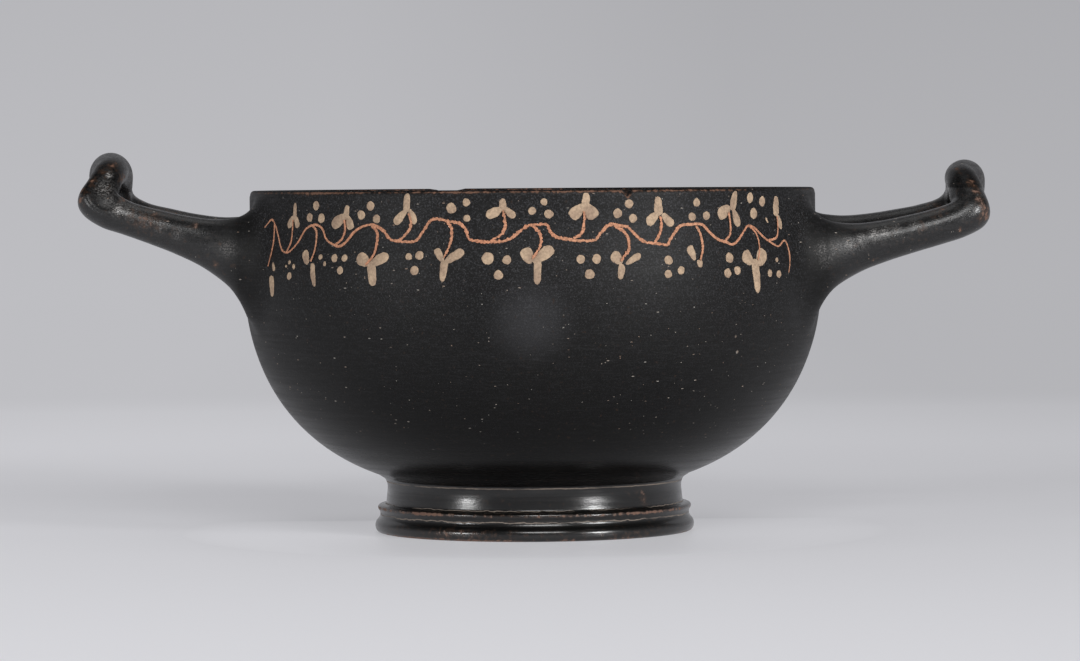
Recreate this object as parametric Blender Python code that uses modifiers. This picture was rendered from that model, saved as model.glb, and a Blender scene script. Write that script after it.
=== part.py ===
"""A black-gloss cup-skyphos: a deep wheel-thrown drinking cup on a moulded ring foot, with two
looped handles that turn up at their tips.

Run it with  blender --background --python part.py  or from Blender's text editor.
Metres, +Z up. The origin is the centre of the ring that the cup stands on, and the handles lie
along X. The thrown bowl, its foot and the two rolled handles are luted together with slip and
fired as one, so they are one solid.
"""

import math
from collections import namedtuple

import bmesh
import bpy
from mathutils import Vector

MM = 0.001

# ---- Driving dimensions, in millimetres ----------------------------------------------------

CUP_HEIGHT = 72.5

# The bowl's outside is a superellipse below its widest level and draws in a little to the rim.
RIM_RADIUS = 59.9
BELLY_RADIUS = 61.15
BELLY_LEVEL = 54.5
BOWL_DEPTH = 46.2
ACROSS_POWER = 2.81
DOWN_POWER = 2.18
LIP_STRAIGHT = 4.5
UNDERSIDE_LEVEL = 20.0  # where the points outside change from even steps down to steps in
NECK_CURVE = 1.0

# The inside follows the outside, a little thicker towards the floor.
LIP_THICKNESS = 2.8
WALL_THICKNESS = 3.3
FLOOR_LEVEL = 11.4
FLOOR_RADIUS = 36.0  # where the profile's points change from even steps out to even steps up
LIP_ROUNDING = 0.9

# The foot: a plain band under the bowl, a thin half-round ridge, a groove, and a roll at the base.
BAND_RADIUS = 31.1
BAND_FLARE = 0.25
BAND_TOP = 10.6
BAND_BOTTOM = 7.2
RIDGE_CENTRE = (32.05, 5.35)
RIDGE_ROUNDING = 1.2
GROOVE_RADIUS = 32.75
ROLL_CENTRE = (32.1, 1.4)
ROLL_ROUNDING = 1.8

# Underneath: the ring that it stands on, and the shallow hollow inside the ring.
RING_INNER_RADIUS = 29.6
RING_EDGE_SOFTENING = 0.5
RING_INNER_SLOPE = (1.3, 1.1)
HOLLOW_RADIUS = 26.6
HOLLOW_LEVEL = 7.5
HOLLOW_DISHING = 0.9

# The handles. Both legs of each leave the wall squarely, flare where they meet it, and draw in
# towards the turn. Distances out are along X from the cup's axis.
ROOT_AZIMUTH = math.radians(17.5)
ROOT_RADII = (59.2, 61.6)
LEG_CLEAR_OF_WALL = 62.0
LEG_END = 84.3
LEG_SPREAD = 18.5
LEG_DRAW_IN = 2.5
ROOT_HALF_HEIGHT = 11.6
ROOT_HALF_WIDTH = 6.9
ROOT_NARROWING = 5.0  # the length over which the flare's width dies away
ROD_SIDES = 16
ROD_STEPS_A_SPAN = 2
ROD_TURN_REACH = 3  # sections turn evenly round the tight corners, so that none cross
UP = Vector((0.0, 0.0, 1.0))

# One leg: its height at the root, how far it rises by its end, how late it rises, the length
# over which the root's tall flare dies away, and the rod's radius.
Leg = namedtuple("Leg", "root_level rise rise_power flare_length rod")
LEFT_NEAR_LEG = Leg(58.8, 8.1, 1.10, 7.4, 3.3)
LEFT_FAR_LEG = Leg(58.9, 7.9, 1.08, 7.4, 3.3)
RIGHT_NEAR_LEG = Leg(58.0, 6.0, 1.25, 6.4, 3.7)
RIGHT_FAR_LEG = Leg(59.0, 5.8, 1.06, 6.6, 3.7)

# Each turn was pinched by hand: out to a blunt near corner, up and in along the crossbar, and
# round the far corner. Each station is the distance out, Y, height and the rod's radius.
LEFT_TURN = (
    (88.3, -15.4, 68.6, 3.9),
    (90.9, -14.2, 70.9, 4.3),
    (89.9, -12.0, 73.6, 3.5),
    (89.2, -8.8, 75.7, 3.3),
    (89.0, -4.5, 76.5, 3.4),
    (89.6, 2.0, 76.9, 3.8),
    (90.4, 9.0, 76.4, 4.3),
    (90.8, 13.4, 72.6, 4.2),
    (88.5, 15.1, 69.0, 3.9),
)
RIGHT_TURN = (
    (88.9, -15.4, 65.5, 3.9),
    (91.6, -14.2, 67.4, 4.3),
    (91.1, -12.2, 70.5, 3.7),
    (90.7, -9.0, 72.9, 3.4),
    (90.6, -4.5, 74.0, 3.3),
    (91.6, 2.0, 74.1, 3.9),
    (92.7, 8.8, 73.6, 4.2),
    (92.6, 13.6, 69.8, 4.2),
    (89.8, 15.1, 66.6, 4.0),
)

WHEEL_STEPS = 56

# Two flakes are lost from the rim: a short one off the front, and a shallow one at the back.
FRONT_CHIP_AZIMUTH = 18.8
FRONT_CHIP_OUTER = ((-3.1, 0.8), (-0.3, -2.3), (2.9, 0.8))
FRONT_CHIP_INNER = ((-1.8, 0.8), (-0.2, -0.5), (1.7, 0.8))
BACK_CHIP_AZIMUTH = 199.3
BACK_CHIP_OUTER = ((-3.9, 0.8), (-2.2, -0.9), (1.8, -0.8), (3.8, 0.8))
BACK_CHIP_INNER = ((-3.7, 0.8), (-2.3, -0.6), (2.0, -0.7), (3.6, 0.8))
CHIP_CLEARANCE = 1.0

GLOSS_COLOUR = (0.012, 0.012, 0.013, 1.0)
GLOSS_ROUGHNESS = 0.32


# ---- The thrown bowl and foot ----------------------------------------------------------------


def spread(first, last, count):
    """count even steps from first to last, both included."""
    return [first + (last - first) * i / (count - 1) for i in range(count)]


def arc(centre, radius, start_deg, end_deg, count):
    """Points (r, z) on a circular arc, with angles from the outward direction up."""
    angles = [math.radians(a) for a in spread(start_deg, end_deg, count)]
    return [
        (centre[0] + radius * math.cos(a), centre[1] + radius * math.sin(a))
        for a in angles
    ]


def bowl_radius(level, belly, depth):
    """The superellipse below the widest level: the radius at a height."""
    down = min(1.0, max(0.0, (BELLY_LEVEL - level) / depth))
    return belly * (1.0 - down**DOWN_POWER) ** (1.0 / ACROSS_POWER)


def bowl_level(radius, belly, depth):
    """The same superellipse read the other way: the height at a radius."""
    across = min(1.0, radius / belly)
    return BELLY_LEVEL - depth * (1.0 - across**ACROSS_POWER) ** (1.0 / DOWN_POWER)


def wall_radius(level, belly, rim):
    """The upper wall: an easy curve from the widest level in to the straight lip."""
    share = (level - BELLY_LEVEL) / (CUP_HEIGHT - LIP_STRAIGHT - BELLY_LEVEL)
    share = min(1.0, max(0.0, share))
    return belly + (rim - belly) * share * share * (3.0 - 2.0 * share)


def inside_profile():
    """From the middle of the floor out and up to just under the lip."""
    belly = BELLY_RADIUS - WALL_THICKNESS
    depth = BELLY_LEVEL - FLOOR_LEVEL
    rim = RIM_RADIUS - LIP_THICKNESS
    floor = [(r, bowl_level(r, belly, depth)) for r in spread(0.0, FLOOR_RADIUS, 5)]
    side_levels = spread(bowl_level(FLOOR_RADIUS, belly, depth), BELLY_LEVEL, 9)[1:]
    side = [(bowl_radius(z, belly, depth), z) for z in side_levels]
    upper_levels = spread(BELLY_LEVEL, CUP_HEIGHT - LIP_ROUNDING, 5)[1:]
    upper = [(wall_radius(z, belly, rim), z) for z in upper_levels]
    return floor + side + upper


def lip_profile():
    """The plain rounded lip, from the inside over to the outside."""
    inner = (RIM_RADIUS - LIP_THICKNESS + LIP_ROUNDING, CUP_HEIGHT - LIP_ROUNDING)
    outer = (RIM_RADIUS - LIP_ROUNDING, CUP_HEIGHT - LIP_ROUNDING)
    return arc(inner, LIP_ROUNDING, 150, 90, 3) + arc(outer, LIP_ROUNDING, 90, 0, 4)


def outside_profile():
    """From under the lip down to where the bowl meets the foot."""
    upper_levels = spread(CUP_HEIGHT - LIP_ROUNDING, BELLY_LEVEL, 6)[1:]
    upper = [(wall_radius(z, BELLY_RADIUS, RIM_RADIUS), z) for z in upper_levels]
    side_levels = spread(BELLY_LEVEL, UNDERSIDE_LEVEL, 10)[1:]
    side = [(bowl_radius(z, BELLY_RADIUS, BOWL_DEPTH), z) for z in side_levels]
    under_radii = spread(side[-1][0], BAND_RADIUS + NECK_CURVE, 5)[1:]
    under = [(r, bowl_level(r, BELLY_RADIUS, BOWL_DEPTH)) for r in under_radii]
    return upper + side + under


def foot_profile():
    """Band, ridge, groove and roll, down to the standing ring."""
    band = [(BAND_RADIUS, BAND_TOP), (BAND_RADIUS + BAND_FLARE, BAND_BOTTOM)]
    ridge_end = math.degrees(
        math.acos((GROOVE_RADIUS - RIDGE_CENTRE[0]) / RIDGE_ROUNDING)
    )
    roll_start = math.degrees(
        math.acos((GROOVE_RADIUS - ROLL_CENTRE[0]) / ROLL_ROUNDING)
    )
    roll_end = -math.degrees(math.asin(ROLL_CENTRE[1] / ROLL_ROUNDING))
    return (
        band
        + arc(RIDGE_CENTRE, RIDGE_ROUNDING, 95, -ridge_end, 6)
        + arc(ROLL_CENTRE, ROLL_ROUNDING, roll_start, roll_end, 6)
    )


def underside_profile():
    """Across the standing ring, up its inner face, and over the dished hollow to the axis."""
    ring = [
        (RING_INNER_RADIUS, 0.0),
        (RING_INNER_RADIUS - RING_EDGE_SOFTENING, RING_EDGE_SOFTENING),
        (HOLLOW_RADIUS + RING_INNER_SLOPE[0], HOLLOW_LEVEL - RING_INNER_SLOPE[1]),
    ]
    hollow = [
        (r, HOLLOW_LEVEL - HOLLOW_DISHING * (1.0 - (r / HOLLOW_RADIUS) ** 2))
        for r in spread(HOLLOW_RADIUS, 0.0, 5)
    ]
    return ring + hollow


def throw_bowl(collection):
    """The whole turned shape as one profile, spun about Z."""
    profile = (
        inside_profile()
        + lip_profile()
        + outside_profile()
        + foot_profile()
        + underside_profile()
    )
    mesh = bpy.data.meshes.new("cup_skyphos")
    points = [(r * MM, 0.0, z * MM) for r, z in profile]
    mesh.from_pydata(points, [(i, i + 1) for i in range(len(points) - 1)], [])
    bowl = bpy.data.objects.new("cup_skyphos", mesh)
    collection.objects.link(bowl)
    spin = bowl.modifiers.new("throwing", "SCREW")
    spin.steps = WHEEL_STEPS
    spin.render_steps = WHEEL_STEPS
    spin.use_merge_vertices = True
    spin.merge_threshold = 0.00001
    spin.use_smooth_shade = True
    return bowl


# ---- The handles -----------------------------------------------------------------------------


def leg_stations(leg, side_of_y):
    """(x, y, z, half-height, half-width) along one leg, from inside the wall to the turn."""
    plan = [
        (radius * math.cos(ROOT_AZIMUTH), radius * math.sin(ROOT_AZIMUTH))
        for radius in ROOT_RADII
    ]
    for share in spread(0.0, 1.0, 5):
        out = LEG_CLEAR_OF_WALL + share * (LEG_END - LEG_CLEAR_OF_WALL)
        plan.append((out, LEG_SPREAD - share * LEG_DRAW_IN))
    root_x = plan[0][0]
    stations = []
    for x, y in plan:
        gone = x - root_x
        level = leg.root_level + leg.rise * (gone / (LEG_END - root_x)) ** leg.rise_power
        tall = (ROOT_HALF_HEIGHT - leg.rod) * math.exp(-gone / leg.flare_length)
        wide = (ROOT_HALF_WIDTH - leg.rod) * math.exp(-gone / ROOT_NARROWING)
        stations.append((x, side_of_y * y, level, leg.rod + tall, leg.rod + wide))
    return stations


def handle_stations(near_leg, turn, far_leg):
    """A whole handle: up the near leg, round the turn and back down the far leg."""
    turned = [(x, y, z, radius, radius) for x, y, z, radius in turn]
    return leg_stations(near_leg, -1) + turned + leg_stations(far_leg, 1)[::-1]


def smooth_through(stations, steps):
    """A Catmull-Rom curve through the stations, section sizes included."""
    first = [2 * a - b for a, b in zip(stations[0], stations[1])]
    last = [2 * a - b for a, b in zip(stations[-1], stations[-2])]
    padded = [first, *stations, last]
    curve = []
    for before, start, end, after in zip(padded, padded[1:], padded[2:], padded[3:]):
        for step in range(steps):
            t = step / steps
            curve.append([
                b
                + 0.5 * t * (c - a)
                + t * t * (a - 2.5 * b + 2 * c - 0.5 * d)
                + 0.5 * t**3 * (3 * b - a - 3 * c + d)
                for a, b, c, d in zip(before, start, end, after)
            ])
    return curve + [list(stations[-1])]


def loft_handle(name, stations, side, collection):
    """A rod of changing oval section along its loop. side is +1 for +X and -1 for -X."""
    loop = smooth_through(stations, ROD_STEPS_A_SPAN)
    centres = [Vector((side * x, y, z)) for x, y, z, _, _ in loop]
    rod = bmesh.new()
    rings = []
    for i, (_, _, _, upright, level) in enumerate(loop):
        before = centres[max(0, i - ROD_TURN_REACH)]
        after = centres[min(len(centres) - 1, i + ROD_TURN_REACH)]
        along = (after - before).normalized()
        across = along.cross(UP).normalized()
        over = across.cross(along)
        ring = []
        for angle in spread(0.0, 2.0 * math.pi, ROD_SIDES + 1)[:-1]:
            offset = level * math.cos(angle) * across + upright * math.sin(angle) * over
            ring.append(rod.verts.new((centres[i] + offset) * MM))
        rings.append(ring)
    for ring, following in zip(rings, rings[1:]):
        for k in range(ROD_SIDES):
            turn = (k + 1) % ROD_SIDES
            rod.faces.new((ring[k], ring[turn], following[turn], following[k]))
    rod.faces.new(rings[0])
    rod.faces.new(rings[-1])
    bmesh.ops.recalc_face_normals(rod, faces=rod.faces)
    return helper_solid(name, rod, collection)


# ---- Joining, chips and finish ---------------------------------------------------------------


def helper_solid(name, shape, collection):
    """A closed shape that is only joined to the cup or cut from it."""
    mesh = bpy.data.meshes.new(name)
    shape.to_mesh(mesh)
    shape.free()
    mesh.shade_smooth()
    solid = bpy.data.objects.new(name, mesh)
    solid.hide_render = True
    solid.display_type = "WIRE"
    collection.objects.link(solid)
    return solid


def rim_chip(name, azimuth_deg, outer, inner, collection):
    """A cutter for a flake lost from the rim.

    outer and inner are the flake's outline just outside and just inside the wall, as (distance
    along the rim, height over the rim) in millimetres. Azimuth runs from -Y towards +X.
    """
    azimuth = math.radians(azimuth_deg)
    outward = Vector((math.sin(azimuth), -math.cos(azimuth), 0.0))
    along = Vector((math.cos(azimuth), math.sin(azimuth), 0.0))
    flake = bmesh.new()
    rings = []
    for outline, reach in (
        (outer, RIM_RADIUS + CHIP_CLEARANCE),
        (inner, RIM_RADIUS - LIP_THICKNESS - CHIP_CLEARANCE),
    ):
        rings.append([
            flake.verts.new((outward * reach + along * t + UP * (CUP_HEIGHT + h)) * MM)
            for t, h in outline
        ])
    count = len(outer)
    for k in range(count):
        turn = (k + 1) % count
        flake.faces.new((rings[0][k], rings[0][turn], rings[1][turn], rings[1][k]))
    flake.faces.new(rings[0])
    flake.faces.new(rings[1])
    bmesh.ops.recalc_face_normals(flake, faces=flake.faces)
    return helper_solid(name, flake, collection)


def combine(target, other, operation):
    step = target.modifiers.new(f"{operation.lower()} {other.name}", "BOOLEAN")
    step.operation = operation
    step.solver = "EXACT"
    step.object = other


def black_gloss():
    """Fired clay under a sintered black slip: a dense satin surface."""
    material = bpy.data.materials.new("black_gloss")
    material.use_nodes = True
    shader = material.node_tree.nodes["Principled BSDF"]
    shader.inputs["Base Color"].default_value = GLOSS_COLOUR
    shader.inputs["Roughness"].default_value = GLOSS_ROUGHNESS
    shader.inputs["Metallic"].default_value = 0.0
    return material


def new_collection(name):
    collection = bpy.data.collections.new(name)
    bpy.context.scene.collection.children.link(collection)
    return collection


def main():
    for obj in list(bpy.data.objects):
        bpy.data.objects.remove(obj)
    parts = new_collection("cup_skyphos")
    helpers = new_collection("helpers")
    cup = throw_bowl(parts)
    left_loop = handle_stations(LEFT_NEAR_LEG, LEFT_TURN, LEFT_FAR_LEG)
    right_loop = handle_stations(RIGHT_NEAR_LEG, RIGHT_TURN, RIGHT_FAR_LEG)
    left = loft_handle("handle_left", left_loop, -1, helpers)
    right = loft_handle("handle_right", right_loop, 1, helpers)
    front_chip = rim_chip(
        "front_chip", FRONT_CHIP_AZIMUTH, FRONT_CHIP_OUTER, FRONT_CHIP_INNER, helpers
    )
    back_chip = rim_chip(
        "back_chip", BACK_CHIP_AZIMUTH, BACK_CHIP_OUTER, BACK_CHIP_INNER, helpers
    )
    combine(cup, left, "UNION")
    combine(cup, right, "UNION")
    combine(cup, front_chip, "DIFFERENCE")
    combine(cup, back_chip, "DIFFERENCE")
    cup.data.materials.append(black_gloss())


main()
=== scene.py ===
import math
from functools import partial, reduce

import bmesh
import bpy
import numpy as np
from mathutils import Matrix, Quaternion


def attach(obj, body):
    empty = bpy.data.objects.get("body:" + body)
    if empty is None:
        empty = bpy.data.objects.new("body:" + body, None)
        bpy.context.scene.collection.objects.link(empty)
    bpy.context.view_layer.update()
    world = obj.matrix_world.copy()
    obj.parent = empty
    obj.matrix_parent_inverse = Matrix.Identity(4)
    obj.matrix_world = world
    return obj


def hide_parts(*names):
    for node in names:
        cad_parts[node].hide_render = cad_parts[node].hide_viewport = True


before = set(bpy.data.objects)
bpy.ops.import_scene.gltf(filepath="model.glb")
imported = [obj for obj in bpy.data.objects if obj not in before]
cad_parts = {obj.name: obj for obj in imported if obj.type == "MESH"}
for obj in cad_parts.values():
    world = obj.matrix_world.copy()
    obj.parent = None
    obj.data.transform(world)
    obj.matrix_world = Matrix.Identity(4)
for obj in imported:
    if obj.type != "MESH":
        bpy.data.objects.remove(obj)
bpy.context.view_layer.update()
bpy.context.scene.view_settings.view_transform = "Standard"


# ---- The cup ----
# One piece of fired clay: a bowl and foot thrown and turned on the wheel, and two rolled handles
# bent round, pinched at the turn and luted to the wall with slip. It stands for the solid of the
# same form, with the slip smoothed round the handles and the flakes lost from the rim.

MM = 0.001

# Sizes in millimetres, the solid's own.
CUP_HEIGHT = 72.5
RIM_RADIUS = 59.9
BELLY_RADIUS = 61.15
BELLY_LEVEL = 54.5
BOWL_DEPTH = 46.2
ACROSS_POWER = 2.81
DOWN_POWER = 2.18
LIP_STRAIGHT = 4.5
LIP_THICKNESS = 2.8
LIP_ROUNDING = 0.9
WALL_THICKNESS = 3.3
FLOOR_LEVEL = 11.4
FLOOR_RADIUS = 36
HOLLOW_RADIUS = 26.6
HOLLOW_LEVEL = 7.5
HOLLOW_DISHING = 0.9

# How the profile is divided: the columns round it, the levels between which the handles' roots
# meet it, the level where the bowl is followed by radius instead, and the radius where that ends.
WHEEL_COLUMNS = 300
FOOT_STEPS_A_SPAN = 2
ROOT_BAND = (69.6, 46.4)
BOWL_TURN_LEVEL = 20
UNDER_BOWL_RADIUS = 33.2

# The foot's moulding as (radius, level): the arris under the bowl, the band, the ridge, the
# groove, the roll and the standing ring.
FOOT_STATIONS = ((32.8, 12), (32.3, 11.7), (31.9, 11.4), (31.62, 11.05), (31.5, 10.7),
    (31.32, 10.2), (31.27, 9.6), (31.29, 9), (31.36, 8.3), (31.45, 7.5), (31.53, 6.7),
    (31.64, 6.2), (32.1, 5.95), (32.9, 5.82), (33.3, 5.5), (33.3, 4.95), (33.04, 4.55),
    (32.92, 4.25), (32.88, 3.9), (32.94, 3.5), (33.14, 3.05), (33.46, 2.65), (33.76, 2.25),
    (33.92, 1.8), (33.95, 1.35), (33.88, 0.85), (33.66, 0.4), (33.3, 0.08), (32.9, 0))
UNDER_STATIONS = ((31.3, 0), (29.7, 0), (29.3, 0.1), (29.05, 0.5), (28.6, 2.4), (28.1, 4.6),
    (27.7, 6), (27.2, 6.9))


def bowl_radius(level, belly=BELLY_RADIUS, depth=BOWL_DEPTH):
    """The radius of the bowl's superellipse at a level."""
    down = np.clip((BELLY_LEVEL - level) / depth, 0, 1)
    return belly * (1 - down**DOWN_POWER) ** (1 / ACROSS_POWER)


def bowl_level(radius, belly=BELLY_RADIUS, depth=BOWL_DEPTH):
    """The level of the bowl's superellipse at a radius."""
    across = np.clip(radius / belly, 0, 1)
    return BELLY_LEVEL - depth * (1 - across**ACROSS_POWER) ** (1 / DOWN_POWER)


def upper_radius(level, belly=BELLY_RADIUS, rim=RIM_RADIUS):
    """The easy curve of the upper wall, from the widest level in to the straight lip."""
    share = np.clip((level - BELLY_LEVEL) / (CUP_HEIGHT - LIP_STRAIGHT - BELLY_LEVEL), 0, 1)
    return belly + (rim - belly) * share**2 * (3 - 2 * share)


def outer_radius(level):
    """The outside of the wall at any level."""
    return np.where(level > BELLY_LEVEL, upper_radius(level), bowl_radius(level))


def smooth_through(stations, steps):
    """A Catmull-Rom curve through the stations, steps to a span."""
    points = np.array(stations, float)
    padded = np.vstack([2 * points[0] - points[1], points, 2 * points[-1] - points[-2]])
    curve = [b + 0.5 * t * (c - a) + t * t * (a - 2.5 * b + 2 * c - 0.5 * d)
        + 0.5 * t**3 * (3 * b - a - 3 * c + d)
        for a, b, c, d in zip(padded, padded[1:], padded[2:], padded[3:])
        for t in np.arange(steps) / steps]
    return np.array(curve + [points[-1]])


def profile_rows():
    """The turned profile as (radius, level) rows, and the numbers of some of its rows."""
    belly, depth = BELLY_RADIUS - WALL_THICKNESS, BELLY_LEVEL - FLOOR_LEVEL
    rim = RIM_RADIUS - LIP_THICKNESS
    shoulder = CUP_HEIGHT - LIP_ROUNDING
    floor = np.linspace(0, FLOOR_RADIUS, 16)
    side = np.linspace(bowl_level(FLOOR_RADIUS, belly, depth), BELLY_LEVEL, 20)[1:]
    upper = np.linspace(BELLY_LEVEL, shoulder, 11)[1:]
    parts = [(floor, bowl_level(floor, belly, depth)), (bowl_radius(side, belly, depth), side),
        (upper_radius(upper, belly, rim), upper)]
    lip_start = sum(len(levels) for _, levels in parts)
    for middle, first, last, count in ((rim + LIP_ROUNDING, 165, 90, 5),
            (RIM_RADIUS - LIP_ROUNDING, 90, 0, 6)):
        turn = np.radians(np.linspace(first, last, count))
        parts.append((middle + LIP_ROUNDING * np.cos(turn),
            shoulder + LIP_ROUNDING * np.sin(turn)))
    root_top = sum(len(levels) for _, levels in parts)
    below_lip = np.array([71.2, 70.8, 70.4, 70])
    band = np.linspace(*ROOT_BAND, 19)
    root_foot = root_top + len(below_lip) + len(band) - 1
    for levels in (below_lip, band, np.linspace(ROOT_BAND[1], BOWL_TURN_LEVEL, 20)[1:]):
        parts.append((outer_radius(levels), levels))
    under = np.linspace(bowl_radius(BOWL_TURN_LEVEL), UNDER_BOWL_RADIUS, 12)[1:]
    hollow = np.linspace(HOLLOW_RADIUS, 0, 12)
    dished = HOLLOW_LEVEL - HOLLOW_DISHING * (1 - (hollow / HOLLOW_RADIUS) ** 2)
    parts += [(under, bowl_level(under)),
        smooth_through(FOOT_STATIONS, FOOT_STEPS_A_SPAN).T, np.transpose(UNDER_STATIONS),
        (hollow, dished)]
    return np.hstack(parts).T, lip_start, root_top, root_foot


def node(tree, kind, *values, **named):
    """Adds a node of this kind, with its main setting after a space; a Math node is called by
    its operation alone. The values go to its inputs in order; a named one goes to the input of
    that name or, in lower case, to a setting. A node given as a value stands for the first of
    its outputs in use."""
    kind, *choice = kind.split() if not kind.isupper() else ("Math", kind)
    family = next(f for f in ("Geometry", "Shader", "Function", "")
        if hasattr(bpy.types, f + "Node" + kind))
    made = tree.nodes.new(family + "Node" + kind)
    if choice:
        main = {"MapRange": "interpolation_type", "Mix": "data_type",
            "InputNamedAttribute": "data_type"}.get(kind, "operation")
        setattr(made, main, choice[0])
    for name in [name for name in named if name.islower()]:
        setattr(made, name, named.pop(name))
    inputs = {socket.name: socket for socket in reversed(made.inputs) if socket.enabled}
    wanted = [(inputs[name.replace("_", " ")], value) for name, value in named.items()]
    for socket, value in [*zip(made.inputs, values), *wanted]:
        if isinstance(value, bpy.types.Node):
            value = next(output for output in value.outputs if output.enabled)
        if isinstance(value, bpy.types.NodeSocket):
            tree.links.new(value, socket)
        else:
            socket.default_value = value
    return made


def new_rule(name, sizes):
    """A Geometry Nodes tree with one named input for each size, the function that adds a node
    to it, and the sizes for its nodes to read."""
    tree = bpy.data.node_groups.new(name, "GeometryNodeTree")
    for way in ("INPUT", "OUTPUT"):
        tree.interface.new_socket("Geometry", in_out=way, socket_type="NodeSocketGeometry")
    for label, kind in sizes.items():
        tree.interface.new_socket(label, in_out="INPUT", socket_type="NodeSocket" + kind)
    add = partial(node, tree)
    return tree, add, add("GroupInput").outputs


def finish_rule(add, geometry, clay):
    """A rule's last nodes: real geometry, of its material."""
    real = add("RealizeInstances", geometry)
    add("GroupOutput", add("SetMaterial", real, Material=clay))


def placed(name, data):
    """A new object in the scene."""
    made = bpy.data.objects.new(name, data)
    bpy.context.scene.collection.objects.link(made)
    return made


def new_mesh(name, points, edges, faces, numbers):
    """A mesh with the numbers as attributes of its points."""
    mesh = bpy.data.meshes.new(name)
    mesh.from_pydata(points, edges, faces)
    for label, values in numbers.items():
        attribute = mesh.attributes.new(label, "FLOAT", "POINT")
        attribute.data.foreach_set("value", np.asarray(values, np.float32))
    return mesh


def made_by_rule(name, start, tree, sizes):
    """The plain mesh that the tree makes of the starting mesh at these sizes."""
    host = placed(name, start)
    rule = host.modifiers.new(tree.name, "NODES")
    rule.node_group = tree
    for item in tree.interface.items_tree:
        if item.name in sizes:
            rule[item.identifier] = sizes[item.name]
    graph = bpy.context.evaluated_depsgraph_get()
    mesh = bpy.data.meshes.new_from_object(host.evaluated_get(graph))
    mesh.name = name
    bpy.data.objects.remove(host)
    return mesh


# Throwing: the profile is carried round the axis in columns. They draw closer together at the two
# flakes lost from the rim, and the wall wanders inwards a little, as a thrown wall does.
throwing, add, given = new_rule("throwing", {"Columns": "Int", "Front flake": "Float",
    "Back flake": "Float", "Closeness": "Float", "Closeness width": "Float",
    "Wandering": "Float", "Ripple": "Float", "Clay": "Material"})
count = add("AttributeDomainSize", given["Geometry"]).outputs["Point Count"]
more_columns = add("ADD", given["Columns"], 1)
lattice = add("MeshGrid", Vertices_X=more_columns, Vertices_Y=count)
index = add("InputIndex")
column = add("FLOOR", add("DIVIDE", index, count))
on_profile = add("SampleIndex", given["Geometry"], Value=add("InputPosition"),
    Index=add("MODULO", index, count), data_type="FLOAT_VECTOR")
part_turn = add("DIVIDE", column, given["Columns"])
turn = add("MULTIPLY_ADD", part_turn, math.tau, -math.pi)
for flake in ("Front flake", "Back flake"):
    away = add("SUBTRACT", turn, given[flake])
    reach = add("DIVIDE", away, given["Closeness width"])
    minus = add("MULTIPLY", add("MULTIPLY", reach, reach), -1)
    pull = add("MULTIPLY", add("EXPONENT", minus), given["Closeness"])
    turn = add("SUBTRACT", turn, add("MULTIPLY", away, pull))
turned = add("VectorRotate", on_profile, Angle=turn, rotation_type="Z_AXIS")
slow = add("TexNoise", Vector=turned, Scale=0.018, Detail=1, Roughness=0.4)
levels = add("VectorMath MULTIPLY", turned, (0, 0, 1))
ridged = add("TexNoise", Vector=levels, Scale=0.28, Detail=2, Roughness=0.5)
wander = add("MULTIPLY", slow, given["Wandering"])
drawn_in = add("MULTIPLY_ADD", ridged, given["Ripple"], wander)
outward = add("VectorMath NORMALIZE", add("VectorMath MULTIPLY", turned, (1, 1, 0)))
shift = add("VectorMath SCALE", outward, Scale=add("MULTIPLY", drawn_in, -1))
thrown = add("SetPosition", lattice, Position=add("VectorMath ADD", turned, shift))
finish_rule(add, thrown, given["Clay"])

profile, LIP_START, ROOT_TOP, ROOT_FOOT = profile_rows()
profile_mesh = new_mesh("profile", [(0, -r, z) for r, z in profile], [], [], {})
FRONT_FLAKE = 18.8
BACK_FLAKE = -160.7
slip_clay = bpy.data.materials.new("black_gloss_slip_on_fired_clay")
lattice_mesh = made_by_rule("thrown", profile_mesh, throwing, {"Columns": WHEEL_COLUMNS,
    "Front flake": math.radians(FRONT_FLAKE), "Back flake": math.radians(BACK_FLAKE),
    "Closeness": 0.8, "Closeness width": math.radians(6), "Wandering": 0.16, "Ripple": 0.05,
    "Clay": slip_clay})
ROWS = len(profile)
body = np.empty(len(lattice_mesh.vertices) * 3)
lattice_mesh.vertices.foreach_get("co", body)
body = body.reshape(WHEEL_COLUMNS + 1, ROWS, 3)
body_faces = np.empty(len(lattice_mesh.polygons) * 4, int)
lattice_mesh.polygons.foreach_get("vertices", body_faces)
body_faces = body_faces.reshape(-1, 4)
azimuths = np.degrees(np.arctan2(body[:, LIP_START, 0], -body[:, LIP_START, 1]))
azimuths[0] = -180
azimuths[-1] = 180
worn_body = np.zeros(body.shape[:2])

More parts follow.
